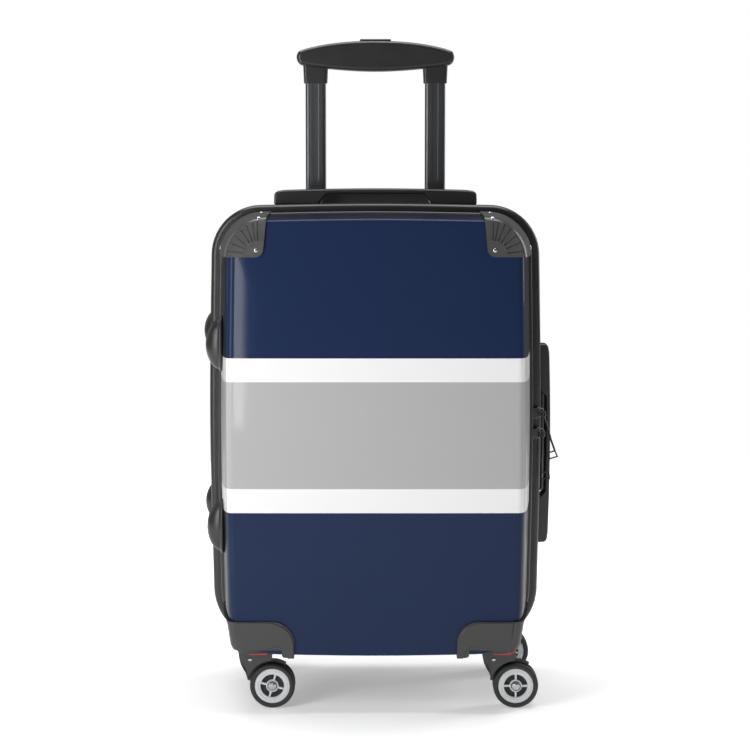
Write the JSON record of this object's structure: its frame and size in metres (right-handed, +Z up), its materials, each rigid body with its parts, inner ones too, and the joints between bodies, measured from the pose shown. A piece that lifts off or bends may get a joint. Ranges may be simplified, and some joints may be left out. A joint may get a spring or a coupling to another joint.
{
  "type": "hard shell suitcase",
  "caption": "Upright hard-shell cabin suitcase with twin-wheel casters, telescopic and carry handles, a zipped hinged lid and a lined inside.",
  "frame": {"origin": "on the floor, under the middle of the case", "axes": "+X to the right seen from the printed front, +Y to the back, +Z up"},
  "size_m": [0.4063, 0.2396, 0.74],
  "materials": {
    "printed_shell": "glossy moulded polycarbonate with printed bands",
    "black_shell": "satin moulded polycarbonate",
    "dark_plastic": "satin moulded plastic",
    "grip_plastic": "satin moulded plastic",
    "zip_fabric": "woven zip tape",
    "lining_fabric": "woven lining",
    "mesh_fabric": "open mesh",
    "webbing": "elastic webbing",
    "gunmetal": "dark anodised",
    "zip_metal": "plated",
    "caster_plastic": "satin moulded plastic",
    "axle_steel": "plated",
    "tyre_rubber": "smooth rubber",
    "wheel_plastic": "white moulded plastic"
  },
  "bodies": {
    "back_half": {"back_shell": "black_shell", "back_frame": "dark_plastic", "back_zip_tape": "zip_fabric", "back_lining": "lining_fabric", "packing_straps": "webbing", "top_plate": "dark_plastic", "side_plate": "dark_plastic", "back_housing_left": "dark_plastic", "back_housing_right": "dark_plastic", "back_foot_upper": "dark_plastic", "back_foot_lower": "dark_plastic", "outer_tube_left": "gunmetal", "outer_tube_right": "gunmetal"},
    "front_half": {"front_shell": "printed_shell", "front_piping": "dark_plastic", "front_zip_tape": "zip_fabric", "front_lining": "lining_fabric", "mesh_divider": "mesh_fabric", "corner_guard_left": "dark_plastic", "corner_guard_right": "dark_plastic", "front_housing_left": "dark_plastic", "front_housing_right": "dark_plastic", "front_foot_upper": "dark_plastic", "front_foot_lower": "dark_plastic"},
    "middle_stage": {"middle_tube_left": "gunmetal", "middle_tube_right": "gunmetal"},
    "upper_stage": {"upper_tube_left": "gunmetal", "upper_tube_right": "gunmetal", "grip": "grip_plastic"},
    "release_button": {"release_button": "grip_plastic"},
    "top_carry_handle": {"top_carry_handle": "grip_plastic"},
    "side_carry_handle": {"side_carry_handle": "grip_plastic"},
    "zip_slider_upper": {"zip_slider_upper": "zip_metal"},
    "zip_pull_upper": {"zip_pull_upper": "zip_metal"},
    "zip_slider_lower": {"zip_slider_lower": "zip_metal"},
    "zip_pull_lower": {"zip_pull_lower": "zip_metal"},
    "front_left_fork": {"front_left_fork": "caster_plastic", "front_left_axle": "axle_steel"},
    "front_left_wheel_a": {"front_left_tyre_a": "tyre_rubber", "front_left_hub_a": "wheel_plastic"},
    "front_left_wheel_b": {"front_left_tyre_b": "tyre_rubber", "front_left_hub_b": "wheel_plastic"},
    "front_right_fork": {"front_right_fork": "caster_plastic", "front_right_axle": "axle_steel"},
    "front_right_wheel_a": {"front_right_tyre_a": "tyre_rubber", "front_right_hub_a": "wheel_plastic"},
    "front_right_wheel_b": {"front_right_tyre_b": "tyre_rubber", "front_right_hub_b": "wheel_plastic"},
    "back_left_fork": {"back_left_fork": "caster_plastic", "back_left_axle": "axle_steel"},
    "back_left_wheel_a": {"back_left_tyre_a": "tyre_rubber", "back_left_hub_a": "wheel_plastic"},
    "back_left_wheel_b": {"back_left_tyre_b": "tyre_rubber", "back_left_hub_b": "wheel_plastic"},
    "back_right_fork": {"back_right_fork": "caster_plastic", "back_right_axle": "axle_steel"},
    "back_right_wheel_a": {"back_right_tyre_a": "tyre_rubber", "back_right_hub_a": "wheel_plastic"},
    "back_right_wheel_b": {"back_right_tyre_b": "tyre_rubber", "back_right_hub_b": "wheel_plastic"}
  },
  "joints": [
    {"name": "lid_hinge", "type": "hinge", "parent": "back_half", "child": "front_half", "pos_m": [-0.194, -0.002, 0.3015], "axis": [0, 0, -1], "range_deg": [0, 180]},
    {"name": "middle_slide", "type": "slide", "parent": "back_half", "child": "middle_stage", "axis": [0, 0, 1], "range_m": [0, 0.22]},
    {"name": "upper_slide", "type": "slide", "parent": "middle_stage", "child": "upper_stage", "axis": [0, 0, 1], "range_m": [-0.155, 0]},
    {"name": "button_press", "type": "slide", "parent": "upper_stage", "child": "release_button", "axis": [0, 0, 1], "range_m": [-0.003, 0], "stiffness_N_per_m": 300, "springref_m": 0.002},
    {"name": "top_handle_lift", "type": "slide", "parent": "back_half", "child": "top_carry_handle", "axis": [0, 0, 1], "range_m": [0, 0.016], "stiffness_N_per_m": 150, "springref_m": -0.004},
    {"name": "side_handle_lift", "type": "slide", "parent": "back_half", "child": "side_carry_handle", "axis": [1, 0, 0], "range_m": [0, 0.016], "stiffness_N_per_m": 150, "springref_m": -0.004},
    {"name": "zip_slide_upper", "type": "slide", "parent": "back_half", "child": "zip_slider_upper", "axis": [0, 0, 1], "range_m": [0, 0.15]},
    {"name": "zip_pull_swing_upper", "type": "hinge", "parent": "zip_slider_upper", "child": "zip_pull_upper", "pos_m": [0.189, -0.002, 0.3186], "axis": [0, -1, 0], "range_deg": [0, 130]},
    {"name": "zip_slide_lower", "type": "slide", "parent": "back_half", "child": "zip_slider_lower", "axis": [0, 0, 1], "range_m": [-0.15, 0]},
    {"name": "zip_pull_swing_lower", "type": "hinge", "parent": "zip_slider_lower", "child": "zip_pull_lower", "pos_m": [0.189, -0.002, 0.2956], "axis": [0, -1, 0], "range_deg": [0, 12]},
    {"name": "front_left_swivel", "type": "hinge", "parent": "front_half", "child": "front_left_fork", "pos_m": [-0.13465, -0.082, 0.07], "axis": [0, 0, 1], "continuous": true},
    {"name": "front_left_roll_a", "type": "hinge", "parent": "front_left_fork", "child": "front_left_wheel_a", "pos_m": [-0.11405, -0.0894, 0.025], "axis": [0, 1, 0], "continuous": true},
    {"name": "front_left_roll_b", "type": "hinge", "parent": "front_left_fork", "child": "front_left_wheel_b", "pos_m": [-0.11405, -0.0746, 0.025], "axis": [0, 1, 0], "continuous": true},
    {"name": "front_right_swivel", "type": "hinge", "parent": "front_half", "child": "front_right_fork", "pos_m": [0.13465, -0.082, 0.07], "axis": [0, 0, 1], "continuous": true},
    {"name": "front_right_roll_a", "type": "hinge", "parent": "front_right_fork", "child": "front_right_wheel_a", "pos_m": [0.15525, -0.0894, 0.025], "axis": [0, 1, 0], "continuous": true},
    {"name": "front_right_roll_b", "type": "hinge", "parent": "front_right_fork", "child": "front_right_wheel_b", "pos_m": [0.15525, -0.0746, 0.025], "axis": [0, 1, 0], "continuous": true},
    {"name": "back_left_swivel", "type": "hinge", "parent": "back_half", "child": "back_left_fork", "pos_m": [-0.13465, 0.08, 0.07], "axis": [0, 0, 1], "continuous": true},
    {"name": "back_left_roll_a", "type": "hinge", "parent": "back_left_fork", "child": "back_left_wheel_a", "pos_m": [-0.14205, 0.0594, 0.025], "axis": [1, 0, 0], "continuous": true},
    {"name": "back_left_roll_b", "type": "hinge", "parent": "back_left_fork", "child": "back_left_wheel_b", "pos_m": [-0.12725, 0.0594, 0.025], "axis": [1, 0, 0], "continuous": true},
    {"name": "back_right_swivel", "type": "hinge", "parent": "back_half", "child": "back_right_fork", "pos_m": [0.13465, 0.08, 0.07], "axis": [0, 0, 1], "continuous": true},
    {"name": "back_right_roll_a", "type": "hinge", "parent": "back_right_fork", "child": "back_right_wheel_a", "pos_m": [0.15525, 0.0726, 0.025], "axis": [0, 1, 0], "continuous": true},
    {"name": "back_right_roll_b", "type": "hinge", "parent": "back_right_fork", "child": "back_right_wheel_b", "pos_m": [0.15525, 0.0874, 0.025], "axis": [0, 1, 0], "continuous": true}
  ]
}
